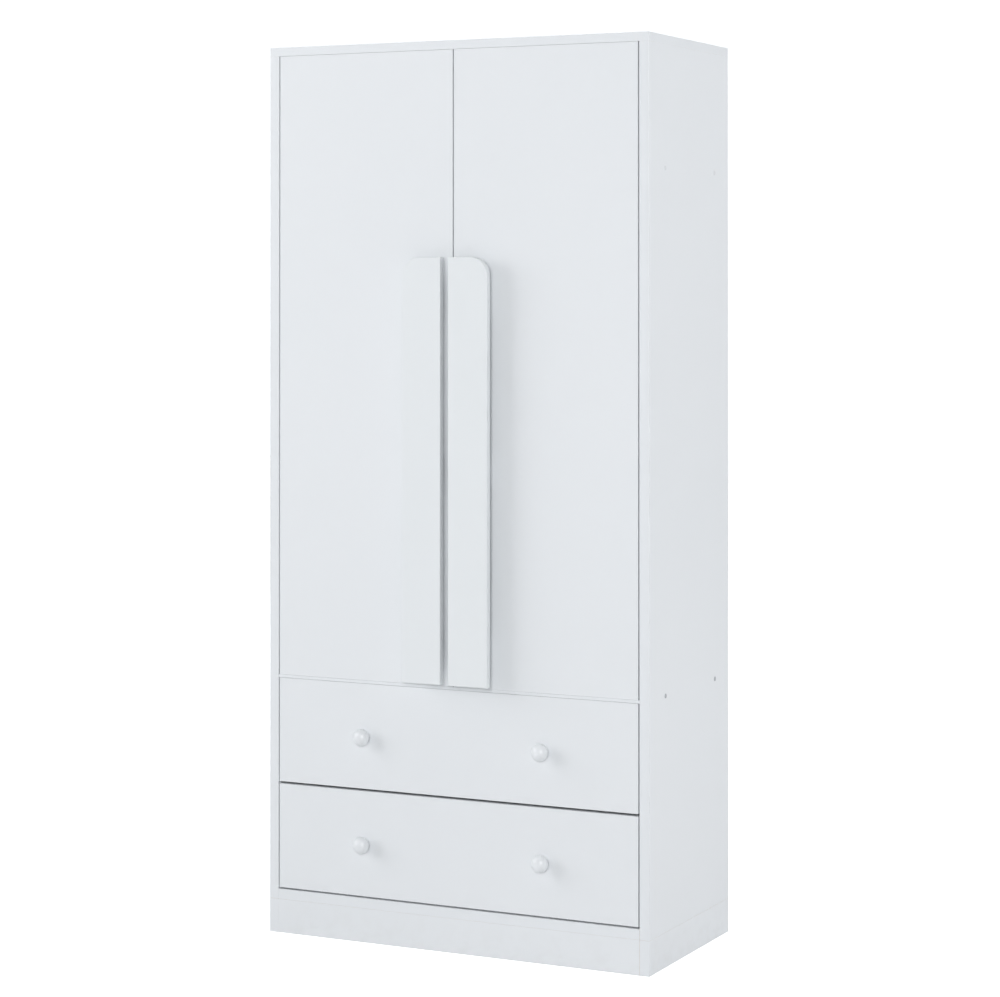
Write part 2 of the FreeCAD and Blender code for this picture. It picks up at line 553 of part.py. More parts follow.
# The divider reaches the fronts, and its notches clear the doors' hinge edges as they swing
EDGE = "(door_t + shelf_clearance)"
NOTCH_X = f"({INSIDE} - reveal - pin_x - door_t + pin_y - notch_side)"
NOTCH_Y = "(pin_y + hypot(pin_x; door_t - pin_y) + notch_play)"
notched = outline("divider_blank", "XY_Plane",
                  ((f"-{NOTCH_X}", EDGE), (NOTCH_X, EDGE), (NOTCH_X, NOTCH_Y),
                   (INSIDE, NOTCH_Y), (INSIDE, CARCASS), (f"-{INSIDE}", CARCASS),
                   (f"-{INSIDE}", NOTCH_Y), (f"-{NOTCH_X}", NOTCH_Y)),
                  "shelf_t", ("0", FRONT, DIVIDER))
with_both("divider_shelf", notched, divider_cuts)
# A strip on the divider's front edge fills the gap between the doors and the upper drawer
part(block("divider_front_strip",
           (f"(-{INSIDE})", f"({FRONT} + strip_setback)", f"({DOOR_LOW} - divider_gap + strip_low_gap)"),
           (f"(2 * {INSIDE})", f"({EDGE} - strip_setback)",
            "(divider_gap - strip_low_gap - strip_top_gap)")))

plinth_inner = f"(2 * {INSIDE})"
plinth_side = part(block("plinth_left_board", (OUTSIDE, FRONT, "0"),
                         ("side_t", CARCASS, "plinth_h")))
part(mirrored("plinth_right_board", plinth_side))
part(block("plinth_front_board", (f"(-{INSIDE})", FRONT, "0"),
           (plinth_inner, "plinth_t", "plinth_h")))
part(block("plinth_back_board", (f"(-{INSIDE})", f"({REAR} - plinth_t)", "0"),
           (plinth_inner, "plinth_t", "plinth_h")))
part(block("plinth_stretcher", ("(-plinth_t / 2)", f"({FRONT} + plinth_t)", "0"),
           ("plinth_t", f"({CARCASS} - 2 * plinth_t)", "plinth_h")))

SEAM = f"({DIVIDER} + shelf_t / 2)"
for name, low, high in (("lower_back_sheet", "plinth_h", SEAM),
                        ("upper_back_sheet", SEAM, "(height - back_margin)")):
    blank = block(f"{name}_blank", ("(-width / 2 + back_margin)", REAR, low),
                  ("(width - 2 * back_margin)", "back_t", f"({high} - {low})"))
    with_both(name, blank, nail_holes)

# ---------------------------------------------------------------- hardware groups
both_sides("hinge_plates", plates)
both_sides("hinge_plate_screws", plate_screws)
both_sides("hinge_arms", arms)
both_sides("outer_rails", outer_rails)
both_sides("runner_screws", runner_screws)
both_sides("rail_socket_screws", socket_screws)
both_sides("shelf_screws", shelf_screws)
both_sides("screw_caps", caps)
both_sides("dowels", dowels)
both_sides("cam_bolts", bolts)
both_sides("cam_locks", cams)
both_sides("back_nails", nails)

# ---------------------------------------------------------------- build, check, write
doc.recompute()
for thing in doc.Objects:
    if "Invalid" in thing.State or "Error" in thing.State:
        raise RuntimeError(f"{thing.Name} failed: {thing.State}")
for piece in parts:
    if piece.Shape.isNull() or not piece.Shape.isValid() or not piece.Shape.Solids:
        raise RuntimeError(f"{piece.Label} has no valid shape")
os.makedirs("parts", exist_ok=True)
for piece in parts:
    piece.Shape.exportStep(f"parts/{piece.Label}.step")
    print(f"{piece.Label}: {len(piece.Shape.Solids)} solids, {piece.Shape.Volume / 1000:.1f} cm3")
print(len(parts), "parts")
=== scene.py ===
import json
import math

import bmesh
import bpy
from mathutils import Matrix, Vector

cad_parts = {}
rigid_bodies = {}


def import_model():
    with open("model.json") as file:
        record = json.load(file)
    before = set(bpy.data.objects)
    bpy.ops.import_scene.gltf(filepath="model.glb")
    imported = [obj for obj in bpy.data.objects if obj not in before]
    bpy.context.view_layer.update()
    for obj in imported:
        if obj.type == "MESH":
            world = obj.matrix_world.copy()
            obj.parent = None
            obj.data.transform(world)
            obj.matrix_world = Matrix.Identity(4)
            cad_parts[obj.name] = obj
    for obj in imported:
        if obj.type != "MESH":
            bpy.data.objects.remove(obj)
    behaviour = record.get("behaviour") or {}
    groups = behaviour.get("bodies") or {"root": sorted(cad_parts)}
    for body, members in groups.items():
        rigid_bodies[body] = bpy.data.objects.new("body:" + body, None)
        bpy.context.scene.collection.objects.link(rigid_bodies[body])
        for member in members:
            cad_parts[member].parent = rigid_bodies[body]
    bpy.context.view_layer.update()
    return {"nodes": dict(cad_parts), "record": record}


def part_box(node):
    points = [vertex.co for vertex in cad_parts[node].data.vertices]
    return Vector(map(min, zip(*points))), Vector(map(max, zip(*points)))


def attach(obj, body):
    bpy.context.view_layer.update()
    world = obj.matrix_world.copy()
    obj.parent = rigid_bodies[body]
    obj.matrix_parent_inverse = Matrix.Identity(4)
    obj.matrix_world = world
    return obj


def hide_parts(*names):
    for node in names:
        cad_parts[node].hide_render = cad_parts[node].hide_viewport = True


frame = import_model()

# Two-door wardrobe with two drawers: its finishes and its detailed pieces, in metres.
# +Z is up, and the fronts face -Y.

MM = 0.001
DOUBLES = MM / 1000
WHOLE_TURN = 2 * math.pi
BODY_OF = {node: body for body, nodes in frame["record"]["behaviour"]["bodies"].items()
           for node in nodes}
SIDES = ("left", "right")
LEVELS = ("upper", "lower")

# How far the edges of each kind of piece are rounded over.
BOARD_EASE = 0.4 * MM
BOX_EASE = 0.6 * MM
SHEET_EASE = 0.3 * MM
LACQUER_EASE = 0.8 * MM
PULL_RIM = 2.5 * MM
PLATE_EASE = 0.5 * MM
STRAP_EASE = 0.25 * MM
CHANNEL_EASE = 0.35 * MM


# ---------------------------------------------------------------- camera, light and floor
def studio():
    """A camera within a degree of level, its lens shifted down, and a broad key from the left."""
    scene = bpy.context.scene
    scene.view_settings.view_transform = "Standard"
    lens = bpy.data.cameras.new("camera")
    lens.sensor_width, lens.sensor_fit = 36, "HORIZONTAL"
    lens.lens = 98.25
    lens.shift_y = -0.2407
    lens.clip_end = 200
    camera = bpy.data.objects.new("camera", lens)
    camera.location = (2.6386, -5.3402, 1.4100)
    camera.rotation_euler = (math.radians(90.5821), 0, math.radians(26.191))
    scene.collection.objects.link(camera)
    scene.camera = camera

    world = bpy.data.worlds.new("studio")
    world.use_nodes = True
    sky = Graph(world.node_tree)
    fill, backdrop = 0.15, 0.94
    seen = sky.node("ShaderNodeLightPath", out="Is Camera Ray")
    glow = sky.node("ShaderNodeBackground", None,
                    {"Color": (0.96, 0.98, 1, 1), "Strength": fill + seen * backdrop})
    sky.tree.links.new(glow.socket, sky.tree.nodes.new("ShaderNodeOutputWorld").inputs[0])
    scene.world = world
    cool_white, target = (0.972, 0.98, 1), Vector((0, 0, 0.9))
    for name, place, width, watts in (("key", (-4.9, -3.2, 2.7), 5.0, 168),
                                      ("front", (2.3, -6.0, 1.9), 2.0, 189),
                                      ("side", (5.4, 0.9, 2.6), 3.0, 162),
                                      ("back", (-1.6, 5.6, 2.8), 3.5, 200),
                                      ("top", (0.0, -0.6, 5.2), 4.0, 22)):
        light = bpy.data.lights.new(name, "AREA")
        light.shape, light.size, light.energy = "DISK", width, watts
        light.color = cool_white
        lamp = bpy.data.objects.new(name, light)
        lamp.location = place
        lamp.rotation_euler = (target - Vector(place)).to_track_quat("-Z", "Y").to_euler()
        scene.collection.objects.link(lamp)


def lay_floor():
    """A wide white floor, which isn't part of the wardrobe."""
    bm = bmesh.new()
    bmesh.ops.create_grid(bm, x_segments=8, y_segments=8, size=14)
    to_piece("floor", bm, (studio_floor(),), weigh=False)


# ---------------------------------------------------------------- node graphs
class Socket:
    """An output of a node; arithmetic on it adds Math nodes."""

    def __init__(self, graph, socket):
        self.graph, self.socket = graph, socket

    def math(self, operation, *values):
        """A Math node with this socket as its first input."""
        return self.graph.node("ShaderNodeMath", {"operation": operation},
                               dict(enumerate((self, *values))))

    def __add__(self, other):
        return self.math("ADD", other)

    def __sub__(self, other):
        return self.math("SUBTRACT", other)

    def __rsub__(self, other):
        return self.math("MULTIPLY", -1) + other

    def __mul__(self, other):
        return self.math("MULTIPLY", other)

    def __truediv__(self, other):
        return self.math("DIVIDE", other)

    __radd__, __rmul__ = __add__, __mul__


class Graph:
    """A node tree while it is being made."""

    def __init__(self, tree):
        self.tree = tree
        tree.nodes.clear()

    def node(self, kind, settings=None, values=None, out=0):
        """Adds a node; values are its inputs, as numbers or as the sockets to link."""
        made = self.tree.nodes.new(kind)
        for word, value in (settings or {}).items():
            if word == "stops":
                stops = made.color_ramp.elements
                while len(stops) < len(value):
                    stops.new(0.5)
                for stop, (place, colour) in zip(stops, value):
                    stop.position, stop.color = place, (*colour, 1)
            elif word == "items":
                while len(made.index_switch_items) < value:
                    made.index_switch_items.new()
            else:
                setattr(made, word, value)
        for key, value in (values or {}).items():
            several = value if isinstance(value, list) else [value]
            for one in several:
                if isinstance(one, Socket):
                    self.tree.links.new(one.socket, made.inputs[key])
                else:
                    made.inputs[key].default_value = one
        return Socket(self, made.outputs[out])

    def vector(self, x, y, z):
        return self.node("ShaderNodeCombineXYZ", None, {0: x, 1: y, 2: z})

    def split(self, vector):
        made = self.node("ShaderNodeSeparateXYZ", None, {0: vector}).socket.node
        return [Socket(self, output) for output in made.outputs]


class Finish(Graph):
    """A material, with patterns laid out in metres over the object."""

    def __init__(self, name):
        self.material = bpy.data.materials.new(name)
        self.material.use_nodes = True
        super().__init__(self.material.node_tree)
        self.place = self.node("ShaderNodeTexCoord", out="Object")

    def noise(self, per_metre, detail=2, stretch=(1, 1, 1)):
        place = self.node("ShaderNodeVectorMath", {"operation": "MULTIPLY"},
                          {0: self.place, 1: stretch})
        return self.node("ShaderNodeTexNoise", None,
                         {"Vector": place, "Scale": per_metre, "Detail": detail})

    def ripple(self, axis, pitch):
        """A wave from 0 to 1 along one axis."""
        along = self.split(self.place)[axis] * (WHOLE_TURN / pitch)
        return along.math("SINE") * 0.5 + 0.5

    def band(self, value, low, high):
        """Rises smoothly from 0 at low to 1 at high."""
        return self.node("ShaderNodeMapRange", {"interpolation_type": "SMOOTHSTEP"},
                         {"Value": value, "From Min": low, "From Max": high})

    def blend(self, factor, first, second):
        values = [c if isinstance(c, Socket) else (*c, 1) for c in (first, second)]
        return self.node("ShaderNodeMix", {"data_type": "RGBA"},
                         {0: factor, 6: values[0], 7: values[1]}, out=2)

    def bump(self, height, depth, under=None):
        values = {"Height": height, "Distance": depth}
        if under:
            values["Normal"] = under
        return self.node("ShaderNodeBump", None, values)

    def coat(self, colour, roughness, normal, **fixed):
        """Closes the material; fixed values go straight on the shader."""
        values = {"Base Color": colour, "Roughness": roughness, "Normal": normal}
        values |= {word.replace("_", " "): value for word, value in fixed.items()}
        shader = self.node("ShaderNodeBsdfPrincipled", None, values)
        end = self.tree.nodes.new("ShaderNodeOutputMaterial")
        self.tree.links.new(shader.socket, end.inputs[0])
        return self.material


# ---------------------------------------------------------------- finishes
def board_foil():
    """Satin white foil: the board's chips show through faintly, and dust lies near the floor."""
    f = Finish("board_foil")
    dust_height = 0.11
    clouds, smears = f.noise(1.8), f.noise(9, 4)
    colour = f.blend(clouds, (0.792, 0.815, 0.829), (0.815, 0.833, 0.846))
    specks = f.band(f.noise(520, 1), 0.70, 0.76)
    colour = f.blend(specks * 0.10, colour, (0.60, 0.61, 0.62))
    low_down = 1 - f.band(f.split(f.place)[2], 0.0, dust_height)
    dust = low_down * f.band(f.noise(38, 5), 0.42, 0.70)
    colour = f.blend(dust * 0.10, colour, (0.62, 0.61, 0.585))
    relief = f.bump(f.noise(1500), 0.006 * MM, f.bump(f.noise(160, 3), 0.010 * MM))
    return f.coat(colour, 0.36 + smears * 0.12 + dust * 0.2, relief)


def edge_band():
    """White edge strip, drawn lengthwise and a touch glossier than the faces."""
    f = Finish("edge_band")
    streaks = f.noise(900, 2, (0.02, 1, 0.02)) * 0.5 + f.noise(900, 2, (1, 0.02, 0.02)) * 0.5
    colour = f.blend(streaks, (0.786, 0.810, 0.826), (0.812, 0.831, 0.845))
    return f.coat(colour, 0.30 + f.noise(14, 3) * 0.12, f.bump(streaks, 0.006 * MM))


def raw_chipboard():
    """Sawn particle board: pressed chips with dark pores between them."""
    f = Finish("raw_chipboard")
    chips = f.node("ShaderNodeTexVoronoi", {"feature": "F1"},
                   {"Vector": f.place, "Scale": 420}, out="Color")
    tone = f.node("ShaderNodeSeparateColor", None, {0: chips})
    colour = f.node("ShaderNodeValToRGB",
                    {"stops": ((0.0, (0.20, 0.115, 0.055)), (0.25, (0.42, 0.28, 0.15)),
                               (0.7, (0.60, 0.44, 0.26)), (1.0, (0.74, 0.59, 0.40)))}, {0: tone})
    pores = f.band(f.noise(650, 3), 0.58, 0.70)
    colour = f.blend(pores * 0.75, colour, (0.07, 0.042, 0.022))
    height = tone * 0.6 - pores
    return f.coat(colour, 0.82 + tone * 0.1, f.bump(height, 0.16 * MM))


def drawer_foil():
    """Matt white drawer foil with a linen emboss."""
    f = Finish("drawer_foil")
    weave = (f.noise(1100, 1, (0.05, 1, 1)) + f.noise(1100, 1, (1, 0.05, 1))
             + f.noise(1100, 1, (1, 1, 0.05))) / 3
    colour = f.blend(f.noise(2.5), (0.755, 0.772, 0.785), (0.782, 0.797, 0.807))
    colour = f.blend(f.band(weave, 0.44, 0.56) * 0.12, colour, (0.68, 0.69, 0.70))
    return f.coat(colour, 0.50 + weave * 0.15, f.bump(weave, 0.05 * MM))


def hardboard_white():
    """The painted face of hardboard, rolled on thin over the fibres."""
    f = Finish("hardboard_white")
    fibres = f.noise(1300, 3)
    colour = f.blend(f.noise(3, 3), (0.745, 0.760, 0.770), (0.785, 0.798, 0.806))
    colour = f.blend(f.band(fibres, 0.62, 0.72) * 0.25, colour, (0.60, 0.58, 0.54))
    return f.coat(colour, 0.48 + f.noise(12, 3) * 0.12, f.bump(fibres, 0.02 * MM))


def hardboard_brown():
    """The bare face of hardboard, printed by the press screen."""
    f = Finish("hardboard_brown")
    mesh_pitch = 1.3 * MM
    screen = (f.ripple(0, mesh_pitch) + f.ripple(1, mesh_pitch) + f.ripple(2, mesh_pitch)) / 3
    fibres, clouds = f.noise(700, 5, (1, 1, 0.35)), f.noise(7, 5)
    colour = f.node("ShaderNodeValToRGB",
                    {"stops": ((0.25, (0.165, 0.092, 0.046)), (0.5, (0.270, 0.165, 0.086)),
                               (0.75, (0.385, 0.255, 0.145)))},
                    {0: fibres * 0.86 + clouds * 0.14})
    colour = f.blend(f.band(f.noise(420, 2, (1, 1, 0.2)), 0.66, 0.72) * 0.3, colour,
                     (0.52, 0.39, 0.25))
    relief = f.bump(screen, 0.10 * MM, f.bump(fibres, 0.15 * MM))
    return f.coat(colour, 0.72 + fibres * 0.18, relief)


def handle_lacquer():
    """Sprayed satin lacquer with a soft orange peel."""
    f = Finish("handle_lacquer")
    peel = f.noise(330, 2)
    colour = f.blend(f.noise(5, 3), (0.790, 0.817, 0.826), (0.812, 0.836, 0.844))
    relief = f.bump(peel, 0.012 * MM, f.bump(f.noise(55, 2), 0.02 * MM))
    return f.coat(colour, 0.30 + f.noise(16, 4) * 0.14, relief, Coat_Weight=0.12,
                  Coat_Roughness=0.25)


def knob_lacquer():
    """Glossier lacquer over turned wood: the lathe's rings still show faintly."""
    f = Finish("knob_lacquer")
    along = f.node("ShaderNodeAttribute", {"attribute_name": "along"}, out="Fac")
    rings = (along * 260 + f.noise(400) * 2).math("SINE") * 0.5 + 0.5
    colour = f.blend(f.noise(30, 3), (0.800, 0.824, 0.838), (0.822, 0.842, 0.854))
    relief = f.bump(rings, 0.010 * MM, f.bump(f.noise(420), 0.012 * MM))
    return f.coat(colour, 0.24 + f.noise(60, 3) * 0.14, relief, Coat_Weight=0.2,
                  Coat_Roughness=0.2)


def beech():
    """Raw beech with its grain along X and Z, as the dowels run, and short dark ray flecks."""
    f = Finish("beech")
    grain = f.noise(500, 4, (0.12, 1, 0.12))
    flecks = f.band(f.noise(1500, 1, (0.25, 1, 0.25)), 0.60, 0.66)
    colour = f.blend(grain, (0.55, 0.36, 0.19), (0.74, 0.55, 0.35))
    colour = f.blend(flecks * 0.6, colour, (0.36, 0.20, 0.09))
    return f.coat(colour, 0.6 + grain * 0.2, f.bump(grain, 0.05 * MM))


def metal(name, dark, bright, roughness, spread, per_metre, stretch, depth):
    """A plated metal: clouded tone, and lines or grain from how it was worked."""
    f = Finish(name)
    worked = f.noise(per_metre, 3, stretch)
    colour = f.blend(f.noise(70, 3) * 0.6 + worked * 0.4, dark, bright)
    return f.coat(colour, roughness + worked * spread, f.bump(worked, depth), Metallic=1)


def white_plastic():
    """White caps at the top of the case, and grey ones at the shelf below the doors."""
    f = Finish("white_plastic")
    grey_below = 1.0
    skin = f.noise(1800, 2)
    colour = f.blend(f.noise(90, 2), (0.70, 0.715, 0.73), (0.735, 0.75, 0.76))
    height = f.split(f.place)[2]
    colour = f.blend(height.math("LESS_THAN", grey_below), colour, (0.42, 0.43, 0.45))
    return f.coat(colour, 0.34 + skin * 0.12, f.bump(skin, 0.008 * MM))


def studio_floor():
    """Matt white that glows towards the camera alone, so that it meets the backdrop unseen."""
    f = Finish("studio_floor")
    colour = f.blend(f.noise(0.7), (0.66, 0.663, 0.666), (0.68, 0.682, 0.684))
    lit = f.node("ShaderNodeLightPath", out="Is Camera Ray")
    return f.coat(colour, 0.8 + f.noise(3, 3) * 0.1, f.bump(f.noise(220, 3), 0.05 * MM),
                  Emission_Color=lit, Emission_Strength=0.95)


FOIL, BAND, CHIPS = board_foil(), edge_band(), raw_chipboard()
DRAWER, PAINTED, BROWN = drawer_foil(), hardboard_white(), hardboard_brown()
HANDLE, KNOB, BEECH, PLASTIC = handle_lacquer(), knob_lacquer(), beech(), white_plastic()
TUBE = metal("rail_tube", (0.62, 0.63, 0.64), (0.76, 0.77, 0.78), 0.22, 0.14, 1500,
             (0.004, 1, 1), 0.004 * MM)
CASTING = metal("zinc_casting", (0.50, 0.51, 0.53), (0.62, 0.63, 0.65), 0.34, 0.16, 900,
                (1, 1, 1), 0.02 * MM)
STEEL = metal("plated_steel", (0.56, 0.58, 0.61), (0.70, 0.70, 0.69), 0.24, 0.18, 1200,
              (1, 0.02, 1), 0.006 * MM)
ALL_STEEL = (STEEL, STEEL, STEEL)


# ---------------------------------------------------------------- pieces
def stand_for(piece, *nodes):
    """The piece takes the place and body of these nodes, which are hidden."""
    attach(piece, BODY_OF[nodes[0]])
    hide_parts(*nodes)
    return piece


def to_piece(name, mesh, finishes, soften=35, weigh=True):
    """An object at the origin from a mesh or a bmesh, smooth but for its real corners."""
    if isinstance(mesh, bmesh.types.BMesh):
        bm, mesh = mesh, bpy.data.meshes.new(name)
        bm.to_mesh(mesh)
        bm.free()
    for finish in finishes:
        mesh.materials.append(finish)
    mesh.shade_smooth()
    mesh.set_sharp_from_angle(angle=math.radians(soften))
    piece = bpy.data.objects.new(name, mesh)
    bpy.context.scene.collection.objects.link(piece)
    return keep_flat(piece) if weigh else piece


def keep_flat(piece):
    """Large flat faces keep their own normals, and the small rounded ones bend between them."""
    normals = piece.modifiers.new("flat faces stay flat", "WEIGHTED_NORMAL")
    normals.keep_sharp = True
    return piece


def clean_copy(node):
    """A copy of a node's mesh with its doubles merged and its flat faces rejoined."""
    bm = bmesh.new()
    bm.from_mesh(frame["nodes"][node].data)
    bmesh.ops.remove_doubles(bm, verts=bm.verts, dist=DOUBLES)
    bmesh.ops.dissolve_limit(bm, angle_limit=math.radians(0.5), verts=bm.verts,
                             edges=bm.edges)
    return bm


def eased(node, name, radius, finishes, raw=(), shortest=12 * MM):
    """A piece cut as its node is, with its long edges eased.

    finishes are those of the broad faces, the narrow edges, and the sawn or hidden ones;
    raw lists the directions, such as +Y, that were left sawn."""
    narrow, hidden = 1, 2
    sharp, along_axis = math.radians(60), 0.999
    bm = clean_copy(node)
    low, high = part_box(node)
    thin = min(range(3), key=lambda i: high[i] - low[i])
    weight = bm.edges.layers.float.new("bevel_weight_edge")
    for edge in bm.edges:
        if edge.is_manifold and edge.calc_length() > shortest:
            if edge.calc_face_angle_signed() > sharp:
                edge[weight] = 1
    for face in bm.faces:
        axis = max(range(3), key=lambda i: abs(face.normal[i]))
        way = ("-" if face.normal[axis] < 0 else "+") + "XYZ"[axis]
        if way in raw or abs(face.normal[axis]) <= along_axis:
            face.material_index = hidden
        elif axis != thin:
            face.material_index = narrow
    piece = to_piece(name, bm, finishes, weigh=False)
    bevel = piece.modifiers.new("eased edges", "BEVEL")
    bevel.width, bevel.segments, bevel.limit_method = radius, 3, "WEIGHT"
    bevel.use_clamp_overlap = False
    keep_flat(piece)
    return stand_for(piece, node)


def boards():
    """Every board and sheet, with its sawn sides named where it has any."""
    carcass = (FOIL, BAND, CHIPS)
    box, sheet = (DRAWER, DRAWER, CHIPS), (PAINTED, BROWN, BROWN)
    for side in SIDES:
        eased(f"{side}_side_panel", f"{side}_side", BOARD_EASE, carcass, ("+Y", "-Z", "+Z"))
        eased(f"{side}_door", f"{side}_door_panel", BOARD_EASE, carcass)
        eased(f"plinth_{side}_board", f"{side}_plinth", BOARD_EASE, carcass,
              ("+Y", "-Z", "+Z"))
        eased(f"{side}_handle_blocks", f"{side}_pull_spacers", LACQUER_EASE,
              (HANDLE, HANDLE, CHIPS))
    for node, name, raw in (("top_panel", "top_board", ("+Y",)),
                            ("bottom_panel", "bottom_board", ("+Y", "+X", "-X")),
                            ("upper_shelf", "hat_shelf", ("+Y", "+X", "-X")),
                            ("divider_shelf", "divider_board", ("+Y", "+X", "-X")),
                            ("divider_front_strip", "front_strip", ()),
                            ("plinth_front_board", "front_plinth", ("-Z", "+Z", "+X", "-X")),
                            ("plinth_back_board", "back_plinth", ("-Z", "+Z", "+X", "-X")),
                            ("plinth_stretcher", "middle_plinth", ("-Z", "+Z", "+Y", "-Y"))):
        eased(node, name, BOARD_EASE, carcass, raw)
    for level in LEVELS:
        eased(f"{level}_drawer_front", f"{level}_front", BOARD_EASE, carcass)
        for side in SIDES:
            eased(f"{level}_drawer_{side}_side", f"{level}_box_{side}", BOX_EASE, box,
                  ("-Z", "+Y"))
        eased(f"{level}_drawer_back", f"{level}_box_back", BOX_EASE, box, ("-Z", "+X", "-X"))
        eased(f"{level}_drawer_bottom", f"{level}_box_bottom", SHEET_EASE, sheet, ("-Z",))
        eased(f"{level}_back_sheet", f"{level}_back", SHEET_EASE, sheet, ("+Y",))


# ---------------------------------------------------------------- handles
def inset(outline, distance):
    """A convex outline with every side moved inwards."""
    moved = []
    for i, point in enumerate(outline):
        before = (point - outline[i - 1]).normalized()
        after = (outline[(i + 1) % len(outline)] - point).normalized()
        first, second = Vector((-before.y, before.x)), Vector((-after.y, after.x))
        moved.append(point + (first + second) * (distance / (1 + first.dot(second))))
    return moved


def slab(outline, back, front, back_rim, front_rim, steps=6):
    """A board in the XZ plane from an anticlockwise outline, with rounded rims."""
    turns = [math.pi / 2 * i / steps for i in range(steps + 1)]
    stations = [(back_rim * (1 - math.sin(turn)), back - back_rim * (1 - math.cos(turn)))
                for turn in turns]
    stations += [(front_rim * (1 - math.cos(turn)), front + front_rim * (1 - math.sin(turn)))
                 for turn in turns]
    bm = bmesh.new()
    rings = [[bm.verts.new((p.x, y, p.y)) for p in inset(outline, distance)]
             for distance, y in stations]
    bm.faces.new(reversed(rings[0]))
    bm.faces.new(rings[-1])
    for low, high in zip(rings, rings[1:]):
        for i in range(len(low)):
            bm.faces.new((low[i - 1], low[i], high[i], high[i - 1]))
    bmesh.ops.recalc_face_normals(bm, faces=bm.faces)
    return bm


def pull_boards():
    """Long flat pulls, each with its outer top corner rounded."""
    corner, steps = 40 * MM, 28
    for side in SIDES:
        low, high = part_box(f"{side}_handle")
        outer = -1 if side == "left" else 1
        centre = Vector(((low.x if outer < 0 else high.x) - outer * corner, high.z - corner))
        arc = [centre + corner * Vector((outer * math.cos(a), math.sin(a)))
               for a in (math.pi / 2 * i / steps for i in range(steps + 1))]
        if outer < 0:
            outline = [Vector((low.x, low.z)), Vector((high.x, low.z)),
                       Vector((high.x, high.z)), *reversed(arc)]
        else:
            outline = [Vector((low.x, low.z)), Vector((high.x, low.z)), *arc,
                       Vector((low.x, high.z))]
        board = slab(outline, high.y, low.y, LACQUER_EASE, PULL_RIM)
        stand_for(to_piece(f"{side}_pull_board", board, (HANDLE,)), f"{side}_handle")


# ---------------------------------------------------------------- patterns that repeat
def islands(node):
    """The box of each separate solid of a node, in order of place."""
    bm = bmesh.new()
    bm.from_mesh(frame["nodes"][node].data)
    bmesh.ops.remove_doubles(bm, verts=bm.verts, dist=DOUBLES)
    boxes, seen = [], set()
    for first in bm.verts:
        if first in seen:
            continue
        seen.add(first)
        stack, found = [first], []
        while stack:
            vert = stack.pop()
            found.append(vert.co.copy())
            for edge in vert.link_edges:
                other = edge.other_vert(vert)
                if other not in seen:
                    seen.add(other)
                    stack.append(other)
        boxes.append((Vector(map(min, zip(*found))), Vector(map(max, zip(*found)))))
    bm.free()
    return sorted(boxes, key=lambda box: tuple(round(c, 4) for c in box[0]))


